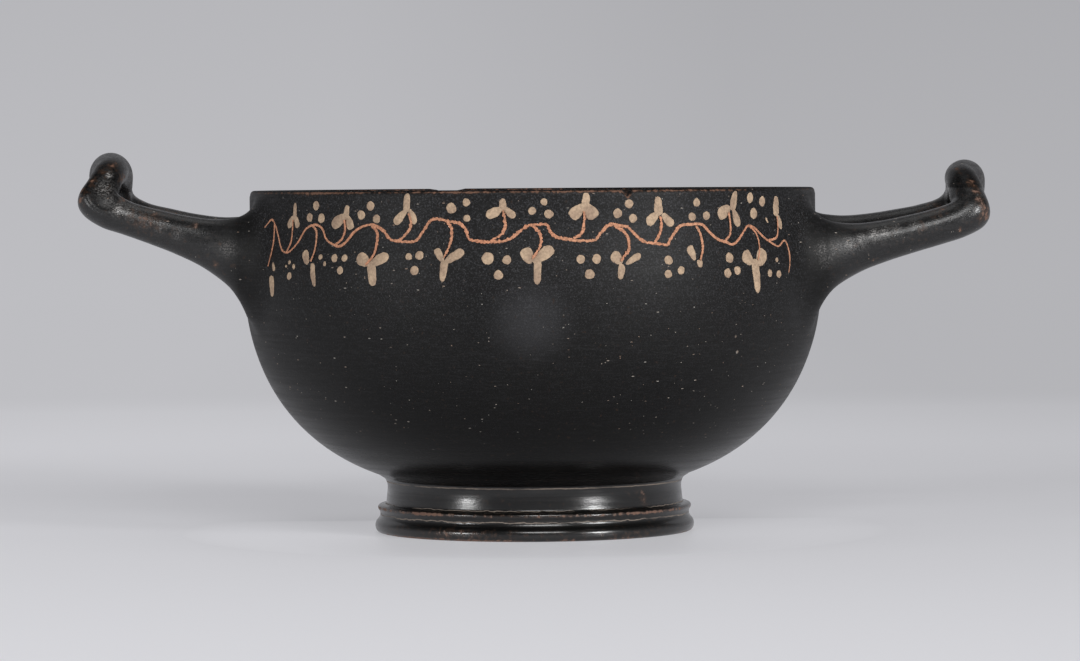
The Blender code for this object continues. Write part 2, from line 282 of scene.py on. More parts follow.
# The flakes lost from the rim. Each is a plane cut through the lip: at the outer face its edge
# runs along the outline, given as (distance along the rim, depth below it), and from there it
# climbs inwards. chances seeds the roughness of the break.
chances = np.random.default_rng(7)
LOST_FLAKES = (
    (FRONT_FLAKE, ((-2.2, 0.1), (-1.3, 0.55), (-0.1, 1.85), (0.9, 0.6), (2, 0.1)), 0.53),
    (BACK_FLAKE, ((-3.6, 0), (-2.4, 0.75), (1.9, 0.7), (3.5, 0)), 0.03),
    (-16, ((-2.3, 0), (-1.2, 0.45), (1, 0.5), (1.9, 0)), 0.5),
    (24.4, ((-0.6, 0), (-0.1, 0.7), (0.5, 0)), 1.2),
    (-138, ((-1.7, 0), (-0.6, 0.6), (0.9, 0.45), (1.6, 0)), 0.6),
    (131, ((-1.2, 0), (0.1, 0.55), (1.3, 0)), 0.8))
for azimuth, outline, climb in LOST_FLAKES:
    along_rim, depths = np.array(outline).T
    for c in range(WHEEL_COLUMNS + 1):
        t = math.radians(azimuths[c] - azimuth) * RIM_RADIUS
        if not along_rim[0] < t < along_rim[-1]:
            continue
        column_rows = body[c, LIP_START - 4 : ROOT_TOP + 8]
        inward_from_face = RIM_RADIUS - np.hypot(column_rows[:, 0], column_rows[:, 1])
        edge = -np.interp(t, along_rim, depths)
        over = column_rows[:, 2] - CUP_HEIGHT - edge - climb * inward_from_face
        cut = np.flatnonzero(over > 0.02)
        if len(cut) < 3:
            continue
        first, last = cut[0], cut[-1]
        start, end = [column_rows[at] + (column_rows[beyond] - column_rows[at])
            * (over[at] / (over[at] - over[beyond]))
            for at, beyond in ((first, first - 1), (last, last + 1))]
        broken = start + (end - start) * np.linspace(0, 1, last - first + 1)[:, None]
        broken[1:-1, 2] -= chances.uniform(0, 0.07, len(broken) - 2)
        column_rows[first : last + 1] = broken
        worn_body[c, LIP_START - 4 + first : LIP_START - 4 + last + 1] = 0.34
        worn_body[c, LIP_START - 5 + last : LIP_START - 3 + last + 1] = 0.62

# Where the slip has rubbed through to the clay, from 0 to 1. Edges are (radius, level, reach,
# amount) and wander in strength round the cup; patches are (azimuth, level, half-width in
# degrees, half-height, amount).
RUBBED_EDGES = ((59.85, 72.2, 0.36, 0.6), (57.3, 72.2, 0.5, 0.3), (33.32, 5.25, 0.36, 0.52),
    (33.9, 1.2, 1.3, 0.1), (33.4, 0.1, 0.4, 0.42), (30.8, 0, 1.7, 0.9))
RUBBED_PATCHES = ((-47, 71.7, 6, 0.7, 0.3), (-29, 1.5, 13, 0.9, 0.27), (-42, 5.6, 26, 0.4, 0.2),
    (34, 0.9, 12, 0.8, 0.12), (24, 72.3, 34, 0.5, 0.2), (46.1, 8.7, 1.6, 1.9, 0.5),
    (133, 72, 7, 0.8, 0.4), (-140, 2, 9, 0.9, 0.3), (170, 9, 1.5, 1.2, 0.5))
radii = np.hypot(body[:, :, 0], body[:, :, 1])
levels = body[:, :, 2]
turns = np.radians(azimuths)
for radius, level, reach, amount in RUBBED_EDGES:
    gone = np.hypot(radii - radius, levels - level) / reach
    strength = sum(chances.uniform(0.1, 0.25) * np.sin(waves * turns + chances.uniform(0,
        math.tau)) for waves in (1, 2, 3, 5, 8, 13))
    worn_body = np.maximum(worn_body, amount * np.exp(-(gone**4)) * (1 + strength[:, None]))
for azimuth, level, half_wide, half_tall, amount in RUBBED_PATCHES:
    gone = np.hypot((azimuths[:, None] - azimuth) / half_wide, (levels - level) / half_tall)
    outer_face = (radii > outer_radius(levels) - 1) | (levels < 11) & (radii > 30.5)
    worn_body += amount * np.exp(-(gone**2)) * outer_face

# The handles: both legs of each leave the wall squarely, flare where they meet it and draw in
# towards the turn. Stations are the distance out along X, Y, level, half-height and half-width.
ROOT_AZIMUTH = math.radians(17.5)
ROOT_RADII = (59.2, 61.6)
LEG_CLEAR_OF_WALL = 62
LEG_END = 84.3
LEG_SPREAD = 18.5
LEG_DRAW_IN = 2.5
ROOT_HALF_HEIGHT = 11.6
ROOT_HALF_WIDTH = 6.9
ROOT_NARROWING = 5
SECTIONS_A_SPAN = 10
TURN_REACH = 15
FILLET = 6
FILLET_RINGS = 12
ROOT_CLEAR = 63.2

# Each handle's near leg and far leg: root level, rise, how late it rises, the length of its
# flare, and the rod's radius. Then its turn, as (x, y, level, radius).
LEFT_LEGS = ((58.8, 8.1, 1.1, 7.4, 3.3), (58.9, 7.9, 1.08, 7.4, 3.3))
RIGHT_LEGS = ((58, 6, 1.25, 6.4, 3.7), (59, 5.8, 1.06, 6.6, 3.7))
LEFT_TURN = ((88.3, -15.4, 68.6, 3.9), (90.87, -14.2, 70.9, 4.3), (89.9, -12, 73.6, 3.5),
    (89.2, -8.8, 75.7, 3.3), (89, -4.5, 76.5, 3.4), (89.6, 2, 76.9, 3.8), (90.2, 9, 75.95, 4.65),
    (90.3, 13.4, 72.4, 4.5), (88.5, 15.1, 69, 3.9))
RIGHT_TURN = ((88.9, -15.4, 65.5, 3.9), (91.58, -14.2, 67.4, 4.3), (91.1, -12.2, 70.5, 3.7),
    (90.7, -9, 72.9, 3.4), (90.6, -4.5, 74, 3.3), (91.6, 2, 74.1, 3.9), (92.68, 8.8, 73.6, 4.2),
    (92.58, 13.6, 69.8, 4.2), (89.8, 15.1, 66.6, 4))


def leg_stations(leg, side_of_y):
    """One leg's stations, from inside the wall to the turn."""
    root_level, rise, rise_power, flare_length, rod = leg
    shares = np.linspace(0, 1, 5)
    outs = np.append([radius * math.cos(ROOT_AZIMUTH) for radius in ROOT_RADII],
        LEG_CLEAR_OF_WALL + shares * (LEG_END - LEG_CLEAR_OF_WALL))
    spreads = np.append([radius * math.sin(ROOT_AZIMUTH) for radius in ROOT_RADII],
        LEG_SPREAD - shares * LEG_DRAW_IN)
    gone = outs - outs[0]
    level = root_level + rise * (gone / (LEG_END - outs[0])) ** rise_power
    tall = rod + (ROOT_HALF_HEIGHT - rod) * np.exp(-gone / flare_length)
    wide = rod + (ROOT_HALF_WIDTH - rod) * np.exp(-gone / ROOT_NARROWING)
    return np.column_stack([outs, side_of_y * spreads, level, tall, wide])


def handle_sections(legs, turn, side):
    """A handle's sections, each a row: centre, half-height, half-width, and its directions
    along, across and over the handle."""
    turned = [(x, y, z, radius, radius) for x, y, z, radius in turn]
    stations = [leg_stations(legs[0], -1), turned, leg_stations(legs[1], 1)[::-1]]
    line = smooth_through(np.vstack(stations), SECTIONS_A_SPAN)
    line[:, 0] *= side
    centres, places = line[:, :3], np.arange(len(line))
    along = (centres[np.minimum(len(line) - 1, places + TURN_REACH)]
        - centres[np.maximum(0, places - TURN_REACH)])
    along /= np.linalg.norm(along, axis=1)[:, None]
    across = np.cross(along, (0, 0, 1))
    across /= np.linalg.norm(across, axis=1)[:, None]
    return np.hstack([line, along, across, np.cross(across, along)])


SECTION_PARTS = (3, 4, 5, 8, 11)


def ring(section, directions):
    """Points round one section, at these directions."""
    centre, tall, wide, _, across, over = np.split(section, SECTION_PARTS)
    turn = np.arctan2(np.sin(directions) / tall, np.cos(directions) / wide)[:, None]
    return centre + wide * np.cos(turn) * across + tall * np.sin(turn) * over


def outside_handle(points, sections):
    """How far points are outside a handle, measured by the nearest of these sections."""
    gaps = points[:, None, :] - sections[None, :, :3]
    nearest = np.argmin((gaps**2).sum(axis=2), axis=1)
    centre, _, _, along, _, _ = np.split(sections[nearest], SECTION_PARTS, axis=1)
    ahead = ((points - centre) * along).sum(axis=1)
    beside = np.clip(nearest + np.sign(ahead).astype(int), 0, len(sections) - 1)
    span = np.linalg.norm(sections[beside, :3] - centre, axis=1)
    share = np.clip(np.abs(ahead) / np.maximum(span, 1e-6), 0, 1)
    share[beside == nearest] = 0
    share = share[:, None]
    between = sections[nearest] * (1 - share) + sections[beside] * share
    centre, tall, wide, _, across, over = np.split(between, SECTION_PARTS, axis=1)
    offset = points - centre
    a, b = (offset * across).sum(axis=1), (offset * over).sum(axis=1)
    scaled = np.hypot(a / wide[:, 0], b / tall[:, 0])
    return np.hypot(a, b) * (1 - 1 / np.maximum(scaled, 1e-3))


def outside_wall(points):
    """How far points are outside the bowl's wall."""
    level = points[:, 2]
    slope = (outer_radius(level + 0.1) - outer_radius(level - 0.1)) / 0.2
    gap = np.hypot(points[:, 0], points[:, 1]) - outer_radius(level)
    return gap / np.sqrt(1 + slope**2)


def settled(points, sections, rounds=5):
    """Points moved onto the skin of wall and handle together, with slip smoothed between them."""

    def skin(at):
        wall, handle = outside_wall(at), outside_handle(at, sections)
        blend = np.maximum(FILLET - np.abs(wall - handle), 0) / FILLET
        return np.minimum(wall, handle) - blend**2 * FILLET / 4

    points = points.copy()
    nudge = 0.04
    for _ in range(rounds):
        here = skin(points)
        rise = np.column_stack([(skin(points + nudge * axis) - skin(points - nudge * axis))
            / (2 * nudge) for axis in np.eye(3)])
        step = here / np.maximum((rise**2).sum(axis=1), 0.2)
        points -= np.clip(step, -1.5, 1.5)[:, None] * rise
    return points


# A thumb mark pressed flat on the front of the left turn: x, level, half-width, half-height,
# distance of the flat from the middle, lean back per mm of level. Then knocks that rubbed the
# slip, as (x, level, reach, amount).
THUMB_MARK = (-88.8, 73, 3.4, 3.9, 15.3, 0.6)
LEFT_KNOCKS = ((-94.7, 71, 1.1, 0.52), (-93.4, 72.8, 0.9, 0.48), (-92, 74.6, 0.9, 0.48),
    (-90.2, 76.6, 0.9, 0.46), (-88, 78.1, 1.2, 0.46), (-85.6, 75.6, 1, 0.5),
    (-85.3, 71.2, 0.9, 0.42), (-85, 73.4, 1.2, 0.46), (-79, 66.8, 3, 0.2), (-83, 67.2, 2.2, 0.22),
    (-70.1, 65.3, 0.7, 0.55), (-79, 66.5, 2, 0.25), (-65, 61.5, 0.6, 0.5), (-65.8, 57.4, 0.6, 0.5),
    (-61.9, 56.9, 0.8, 0.5), (-75, 63.5, 0.8, 0.3))
RIGHT_KNOCKS = ((91.6, 73.2, 0.9, 0.52), (92.5, 71.4, 0.9, 0.6), (93.3, 69.8, 0.9, 0.64),
    (94.1, 68, 1, 0.64), (94.7, 66.1, 1.1, 0.56), (93.2, 65.6, 1, 0.3), (85.7, 68.7, 1.1, 0.34),
    (89, 63.3, 0.5, 0.75), (70.9, 57.3, 0.4, 0.7), (81, 63.8, 1.2, 0.4), (84, 66.8, 2, 0.26),
    (75, 62.5, 1.2, 0.25), (89.4, 76, 0.8, 0.4), (66.5, 60.4, 1, 0.2))
# Painted highlights and glints on the front of each, laid on as greyed scuffs, as (x, level,
# reach, amount).
LEFT_PAINTED_HIGHLIGHTS = ((-89.4, 73, 1.7, 0.4), (-88.5, 76.1, 0.6, 0.9), (-86.2, 68.9, 1.1, 1),
    (-88.3, 70.6, 1.1, 0.45), (-83.6, 68.2, 1.3, 0.5), (-80.6, 66.8, 1.3, 0.45),
    (-77.4, 65.3, 1.2, 0.36), (-73.8, 63.8, 1.2, 0.24), (-63.3, 60.6, 1.6, 0.26))
RIGHT_PAINTED_HIGHLIGHTS = ((60, 59.6, 1.4, 0.3), (62.8, 59.9, 1.3, 0.36), (60.8, 57.6, 1.5, 0.18),
    (65.6, 60.8, 1.1, 0.5), (68.4, 61.7, 1, 0.6), (71, 62.5, 1, 0.95), (73.2, 63, 0.9, 0.85),
    (75.6, 63.5, 0.9, 0.5), (79.5, 64.4, 0.9, 0.35), (93.2, 70.3, 0.6, 0.3))

# The hole cut in the wall for each root, the patch of wall that is smoothed round it, how far
# along a handle its sections take the hole's shape and the skin's, and where its wear lies.
HOLE_HALF_COLUMNS = 7
ROWS_ABOVE, ROWS_BELOW, COLUMNS_ASIDE = 3, 14, 16
SLIP_REACH, SLIP_FADE = 27, 9
EVENING_SECTIONS, SETTLED_RINGS = 22, 40
SETTLED_TO, SETTLED_FADE = 74, 6
STRAND_SECTIONS = 60
CLEAR_OF_MIDDLE, BACK_SHIFT = 7, 0.8
HOLE_SIDES = 2 * (2 * HOLE_HALF_COLUMNS + ROOT_FOOT - ROOT_TOP)
cup_points, cup_faces = [body.reshape(-1, 3)], [body_faces]
cup_worn, cup_painted_highlights = [worn_body.reshape(-1)], [np.zeros(worn_body.size)]
kept = np.ones(len(body_faces), bool)
face_columns, face_rows = np.divmod(body_faces.min(axis=1), ROWS)
point_count = body.shape[0] * ROWS
even_turn = -math.pi + (np.arange(HOLE_SIDES) + 0.5) * math.tau / HOLE_SIDES


def fillet(sections, step, edge, directions, last_ring):
    """Rings of points from the edge of a hole to the handle's first clear section."""
    strands = np.array([ring(part, directions) for part in sections[::step][:STRAND_SECTIONS]])
    gaps = outside_wall(strands.reshape(-1, 3)).reshape(strands.shape[:2])
    meets = []
    for i in range(HOLE_SIDES):
        k = int(np.flatnonzero(gaps[:, i] > 0)[0])
        share = gaps[k, i] / (gaps[k, i] - gaps[k - 1, i]) if k else 0
        meets.append(strands[k, i] * (1 - share) + strands[max(k - 1, 0), i] * share)
    meets = np.array(meets)
    guesses = [(1 - t) ** 2 * edge + 2 * t * (1 - t) * meets + t * t * last_ring
        for t in np.arange(1, FILLET_RINGS + 1) / (FILLET_RINGS + 1)]
    return np.array([settled(guess, sections, rounds=8) for guess in guesses])


for side, legs, bends, knocks, painted_highlights in (
        (-1, LEFT_LEGS, LEFT_TURN, LEFT_KNOCKS, LEFT_PAINTED_HIGHLIGHTS),
        (1, RIGHT_LEGS, RIGHT_TURN, RIGHT_KNOCKS, RIGHT_PAINTED_HIGHLIGHTS)):
    handle = handle_sections(legs, bends, side)
    first, last = np.flatnonzero(np.abs(handle[:, 0]) > ROOT_CLEAR)[[0, -1]]
    ends = []
    for leg_side, leg, step in ((-1, handle[: len(handle) // 2], 1),
            (1, handle[len(handle) // 2 :], -1)):
        root, _, _, _, across, over = np.split(leg[::step][0], SECTION_PARTS)
        azimuth = side * (90 + leg_side * math.degrees(ROOT_AZIMUTH))
        middle = int(np.argmin(np.abs(azimuths - azimuth)))
        low, high = middle - HOLE_HALF_COLUMNS, middle + HOLE_HALF_COLUMNS
        kept &= ~((face_columns >= low) & (face_columns < high)
            & (face_rows >= ROOT_TOP) & (face_rows < ROOT_FOOT))
        # The wall round the hole takes up the slip that was smoothed out over it.
        wall_rows = np.arange(ROOT_TOP - ROWS_ABOVE, ROOT_FOOT + ROWS_BELOW)
        for c in range(low - COLUMNS_ASIDE, high + COLUMNS_ASIDE + 1):
            wall = body[c % WHEEL_COLUMNS, wall_rows]
            away = np.linalg.norm(wall - root, axis=1)
            weight = np.clip((SLIP_REACH - away) / SLIP_FADE, 0, 1)[:, None]
            weight[:ROWS_ABOVE] = 0
            weight = weight**2 * (3 - 2 * weight)
            wall += (settled(wall, leg) - wall) * weight
            body[c % WHEEL_COLUMNS, wall_rows] = wall
        loop = ([(c, ROOT_TOP) for c in range(low, high)]
            + [(high, r) for r in range(ROOT_TOP, ROOT_FOOT)]
            + [(c, ROOT_FOOT) for c in range(high, low, -1)]
            + [(low, r) for r in range(ROOT_FOOT, ROOT_TOP, -1)])
        numbers = np.array([c * ROWS + r for c, r in loop])
        edge = body.reshape(-1, 3)[numbers]
        directions = np.arctan2((edge - root) @ over, (edge - root) @ across)
        order = np.argsort(directions)
        ends.append((leg, step, edge[order], directions[order], numbers[order]))

    rings = []
    for place in range(first, last + 1):
        directions = even_turn
        for gone, end in zip((place - first, last - place), ends):
            weight = np.clip(1 - gone / EVENING_SECTIONS, 0, 1) ** 2
            directions = directions + weight * (end[3] - even_turn)
        rings.append(ring(handle[place], directions))
    rings = np.array(rings)
    x, z, half_wide, half_tall, flat, lean = THUMB_MARK
    gone = np.hypot((rings[:, :, 0] - x) / half_wide, (rings[:, :, 2] - z) / half_tall)
    offset = rings[:, :, 1] - handle[first : last + 1, 1][:, None]
    pressed = np.exp(-(gone**4)) * np.clip(-offset / 2.5, 0, 1)
    over = -rings[:, :, 1] - flat + lean * (rings[:, :, 2] - z)
    rings[:, :, 1] += pressed * np.maximum(over, 0)
    fillets = []
    for leg, step, edge, directions, _ in ends:
        block = rings[::step][:SETTLED_RINGS]
        moved = settled(block.reshape(-1, 3), leg).reshape(block.shape)
        fade = np.clip((SETTLED_TO - np.abs(block[:, :, 0])) / SETTLED_FADE, 0, 1)[:, :, None]
        block += (moved - block) * fade
        fillets.append(fillet(leg, step, edge, directions, block[0]))
    tube = np.concatenate([fillets[0], rings, fillets[1][::-1]])
    numbers = point_count + np.arange(len(tube) * HOLE_SIDES).reshape(-1, HOLE_SIDES)
    strips = np.vstack([ends[0][-1], numbers, ends[1][-1]])
    around = np.roll(np.arange(HOLE_SIDES), -1)
    for ring_a, ring_b in zip(strips, strips[1:]):
        cup_faces.append(np.column_stack([ring_a, ring_a[around], ring_b[around], ring_b]))
    cup_points.append(tube.reshape(-1, 3))
    point_count += numbers.size
    tube_x, tube_y, tube_z = np.moveaxis(tube, 2, 0)
    rubbed, greyed_and_painted_light = np.zeros((2, *tube_x.shape))
    for x, z, reach, amount in knocks:
        for face in (-1, 1):
            gone = np.hypot(tube_x - x - BACK_SHIFT * (face > 0), tube_z - z) / reach
            rubbed += amount * np.exp(-(gone**2)) * (face * tube_y > CLEAR_OF_MIDDLE)
    # Pale patches that paint highlights and glints on the front of the handle.
    for x, z, reach, amount in painted_highlights:
        gone = np.hypot(tube_x - x, tube_z - z) / reach
        greyed_and_painted_light = np.maximum(greyed_and_painted_light, amount * np.exp(-(gone**2)) * (tube_y < -CLEAR_OF_MIDDLE))
    cup_worn.append(rubbed.reshape(-1))
    cup_painted_highlights.append(greyed_and_painted_light.reshape(-1))

body[-1] = body[0]
cup_faces[0] = body_faces[kept]
points = np.vstack(cup_points)
points[: body.shape[0] * ROWS] = body.reshape(-1, 3)

cup_mesh = new_mesh("cup", (points * MM).tolist(), [], np.vstack(cup_faces).tolist(), {
    "worn": np.clip(np.concatenate(cup_worn), 0, 1), "painted_highlights_on_handles": np.concatenate(cup_painted_highlights)})
shape = bmesh.new()
shape.from_mesh(cup_mesh)
bmesh.ops.remove_doubles(shape, verts=shape.verts, dist=0.000002)
bmesh.ops.dissolve_degenerate(shape, edges=shape.edges, dist=0.000001)
bmesh.ops.recalc_face_normals(shape, faces=shape.faces)
# The creases under the roots and at the ends of the turns, as ranges of x, y and level.
CREASE_SMOOTHINGS = 24
CREASES = ((59.2, 62.4, 8, 13.5, 51, 59.5), (84.6, 88.6, 12, 16.4, 68.5, 76))
creased = [v for v in shape.verts if any(x0 < abs(v.co.x) / MM < x1 and y0 < abs(v.co.y) / MM < y1
    and z0 < v.co.z / MM < z1 for x0, x1, y0, y1, z0, z1 in CREASES)]
for _ in range(CREASE_SMOOTHINGS):
    bmesh.ops.smooth_vert(shape, verts=creased, factor=0.5, use_axis_x=True, use_axis_y=True,
        use_axis_z=True)
shape.to_mesh(cup_mesh)
shape.free()
cup_mesh.shade_smooth()
cup_mesh.materials.append(slip_clay)
cup = placed("cup", cup_mesh)


# The slip is near black with a broken shine, wheel marks, rubbed edges and pinholes. Lengths in
# the material are millimetres, read from the object's own coordinates.
def linear(colour):
    """A hex colour in sRGB as the linear RGBA that a shader takes."""
    parts = [int(colour[i : i + 2], 16) / 255 for i in (1, 3, 5)]
    return [p / 12.92 if p <= 0.04045 else ((p + 0.055) / 1.055) ** 2.4 for p in parts] + [1]


def emptied(owner):
    """Clears the owner's shader tree, and returns the function that adds a node to it."""
    owner.use_nodes = True
    owner.node_tree.nodes.clear()
    return partial(node, owner.node_tree)


add = emptied(slip_clay)
in_mm = add("VectorMath SCALE", add("TexCoord").outputs["Object"], Scale=1000)
along_x, _, level = add("SeparateXYZ", in_mm).outputs
# The second attribute carries the painted highlights on the handles.
worn_amount, painted_highlight_amount = [add("Attribute", attribute_name=name,
    attribute_type="GEOMETRY").outputs["Fac"] for name in ("worn", "painted_highlights_on_handles")]

# Wheel and brush marks: noises drawn out along the turn. Grain, dust, fine and crinkles: close
# noises. Clouds and patches: slow ones. Scratches: those that run along the legs of the handles.
# Each is (stretch round the cup, stretch upwards, scale, detail, roughness).
wheel_marks, brush_marks, grain, dust, clouds, fine, crinkles, patches, scratches = [
    add("TexNoise", Vector=add("VectorMath MULTIPLY", in_mm, (around, around, upwards)),
        Scale=scale, Detail=detail, Roughness=rough)
    for around, upwards, scale, detail, rough in (
        (0.05, 1.5, 1, 3, 0.5), (0.35, 3.2, 1, 2, 0.5), (1, 1, 2.6, 4, 0.5), (1, 1, 3, 2, 0.75),
        (1, 1, 0.06, 3, 0.5), (1, 1, 1.1, 5, 0.5), (1, 1, 0.6, 4, 0.5), (1, 1, 0.09, 3, 0.5),
        (1, 1.3, 2.9, 3, 0.5))]

# The foot and the handles keep more of their gloss than the bowl, and the lip has lost it.
on_foot = add("MapRange", level, 10.5, 13, 1, 0)
on_handle = add("MapRange", add("ABSOLUTE", along_x), 61, 66)
glossy = add("MAXIMUM", on_foot, on_handle)

# Bare clay shows where the worn amount, broken by fine noise, passes a threshold, and the slip
# round it is thinned to brown.
thinned = add("ADD", worn_amount, add("MULTIPLY_ADD", fine, 1.5, -0.75))
exposed = add("MapRange SMOOTHSTEP", thinned, 0.4, 0.66)
mottled = add("MULTIPLY_ADD", glossy, 0.07, thinned)
browned = add("MapRange SMOOTHSTEP", mottled, 0.16, 0.5, 0, 0.85)

# Round the foot run three thin crinkled lines of limy deposit: on the arris, low on the band
# and in the groove. Each is (level, crinkle, half-width, the share that has none).
crinkles, patches = [add("SeparateColor", noise.outputs["Color"]) for noise in (crinkles, patches)]
across = add("VectorMath LENGTH", add("VectorMath MULTIPLY", in_mm, (1, 1, 0)))
lines = []
for n, (line_level, crinkle, half_width, without) in enumerate(((10.8, 0.3, 0.16, 0.42),
        (6.2, 0.6, 0.09, 0.45), (3.9, 0.9, 0.14, 0.36))):
    off = add("MULTIPLY_ADD", crinkles.outputs[n], crinkle, level)
    off = add("ABSOLUTE", add("SUBTRACT", off, line_level + crinkle / 2))
    line = add("MapRange", off, 0.4 * half_width, half_width, 1, 0)
    there = add("MapRange", patches.outputs[n], without - 0.04, without + 0.1)
    lines.append(add("MULTIPLY", line, there))
limy = add("GREATER_THAN", across, 30.9)
limy = add("MULTIPLY", limy, reduce(partial(add, "MAXIMUM"), lines))


def specks(cells, around, upwards, most, share):
    """A mask of dots, one in each share of the cells, up to most cells across, and their hue."""
    stretched = add("VectorMath MULTIPLY", in_mm, (around, around, upwards))
    cell = add("TexVoronoi", Vector=stretched, Scale=cells)
    chosen = add("SeparateColor", cell.outputs["Color"])
    size = add("MapRange", chosen, 1 - share, 1, -0.1 * most, most)
    inside = add("SUBTRACT", size, cell.outputs["Distance"])
    return add("MapRange", inside, 0, 0.03), chosen.outputs[1]


# Pinholes, nicks drawn out along the wheel marks, and a few larger flecks of lime. They lie
# thickest on the bowl, away from its under side.
small, small_hue = specks(0.8, 1, 1, 0.12, 0.9)
nicks, _ = specks(0.72, 0.55, 1.5, 0.14, 0.8)
large, _ = specks(0.12, 1, 1, 0.06, 0.5)
any_speck = reduce(partial(add, "MAXIMUM"), (small, large, nicks))
any_speck = add("MULTIPLY", any_speck, add("MapRange", level, 17, 30))

# A soft grey patch on the middle of the front, a painted reflection, and fine dust round the
# garland.
from_painted_reflection = add("VectorMath DISTANCE", in_mm, (-0.4, -60.6, 46.5))
painted_reflection = add("MapRange SMOOTHERSTEP", from_painted_reflection, 0, 12, 0.5, 0)
dusting = reduce(partial(add, "MULTIPLY"), (add("MapRange", dust, 0.51, 0.66, 0, 0.95),
    add("MapRange", level, 42, 60, 0.25, 1), add("MapRange", across, 61.3, 62.5, 1, 0.3)))
brushing = add("MapRange", brush_marks, 0.5, 0.75, 0, 0.16)
greyed_and_painted_light = reduce(partial(add, "ADD"), (painted_reflection, dusting, brushing, 0.02))
# Towards the bowl's under side the greying fades out, which paints shade there.
greyed_and_painted_light = add("MULTIPLY", greyed_and_painted_light, add("MapRange", level, 16, 40, 0.15, 1))
# The painted highlights on the handles are broken up into scratches along the leg.
scratchy = add("MapRange", scratches, 0.46, 0.66, 0.1, 1.6)
painted_highlight_marks = add("MULTIPLY", scratchy, painted_highlight_amount)

colour, speck_colour, lime_colour, clay_colour = [
    add("Mix RGBA", share, A=linear(low), B=linear(high)) for share, low, high in (
        (clouds, "#080808", "#100f0e"), (small_hue, "#7f6a5b", "#94918a"),
        (grain, "#4d443d", "#a39588"), (grain, "#4a352b", "#8b6a59"))]
# The pale grey #9c9996 paints highlights on the handles. #3b3b3d greys the slip with dust and
# brush marks and paints the soft reflection on the front.
for amount, over in ((greyed_and_painted_light, linear("#3b3b3d")), (painted_highlight_marks, linear("#9c9996")),
        (any_speck, speck_colour), (limy, lime_colour), (browned, linear("#33261e")),
        (exposed, clay_colour)):
    colour = add("Mix RGBA", amount, A=colour, B=over)

dulled = reduce(partial(add, "MAXIMUM"), (exposed, any_speck, limy))
under_bowl = add("MapRange", level, 17, 40, 0.26, 0.52)
streaks = add("MapRange", wheel_marks, 0.3, 0.7, -0.04, 0.04)
handled = add("MapRange", fine, 0.35, 0.65, 0.04, 0.14)
sheen = reduce(partial(add, "ADD"), (add("Mix", glossy, A=under_bowl, B=0.22), streaks,
    add("MULTIPLY", handled, on_handle)))
roughness = add("Mix", dulled, A=sheen, B=0.8)
shine = add("Mix", glossy, A=add("MapRange", level, 17, 40, 0.09, 0.21), B=0.85)
shine = add("MULTIPLY", shine, add("MapRange", level, 71.9, 72.3, 1, 0.1))
bending = add("MapRange", glossy, 0, 1, 1.5, 1.4)
marks = add("MapRange", on_handle, 0, 1, 0.7, 2.2)
turned_share = add("MapRange", on_handle, 0, 1, 1, 0.15)
turned_marks = add("MULTIPLY", wheel_marks, turned_share)
marks = add("MULTIPLY_ADD", grain, marks, turned_marks)
dug = add("MULTIPLY_ADD", dulled, -1.2, marks)
uneven = add("Bump", Height=dug, Strength=0.4, Distance=0.00006)
surface = add("BsdfPrincipled", Base_Color=colour, Roughness=roughness, IOR=bending,
    Specular_IOR_Level=shine, Normal=uneven)
add("OutputMaterial", Surface=surface)

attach(cup, "root")
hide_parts("cup_skyphos")


# ---- The garland: its stem ----
# An ivy stem scratched through the slip with a blunt point down to the bare clay, in waves with a
# stalk to each leaf. It is drawn flat, as azimuths in degrees and levels, and wrapped on the wall.

STEM_WAVES = (-65.4, 65, -64.6, 66, -63.5, 66.6, -62, 65.6, -60.1, 63.2, -58.3, 60.7, -56.6, 59.9,
    -54.7, 60.3, -52.5, 62, -50.4, 64.6, -48.4, 65.5, -46.5, 65.5, -45.1, 64.6, -44, 62.8, -42.3,
    61.8, -40.3, 61.3, -38.7, 62.1, -36.8, 64.1, -35, 65.2, -32.9, 65.7, -31.5, 65.4, -29.8, 64.4,
    -28.4, 62.9, -26.8, 62.4, -23.9, 62.2, -22.6, 62.5, -21.3, 64.3, -20, 66.3, -18.5, 66.8, -16.2,
    66.3, -14, 65.9, -12.8, 64.6, -12, 62.8, -10.4, 62.3, -8, 62.2, -5.6, 62.3, -3.7, 63.1, -2.1,
    64.5, -0.6, 65.4, 1, 65.6, 2.7, 65.6, 3.4, 64.2, 4.5, 63.1, 6.2, 62.7, 8.6, 62.3, 11, 62.2,
    12.2, 62.5, 13.2, 63.9, 15.1, 65.4, 17.1, 65.2, 18.6, 64.8, 19.9, 63.6, 20.9, 62.5, 22.4, 61.8,
    24.8, 61.5, 26.6, 61.2, 27.2, 62.2, 28.6, 63.9, 29.9, 65.1, 32.5, 65.3, 34.8, 65.2, 36.3, 63.8,
    38.2, 62.3, 40.4, 61.6, 42.1, 61.1, 43.8, 62, 45.6, 63.7, 47, 64.8, 48.9, 64.3, 50.5, 63.1,
    52.6, 61.8, 56.1, 60.5, 58.4, 61.6, 59.6, 61.1, 60.2, 59.1, 60.1, 57, 59.4, 55)
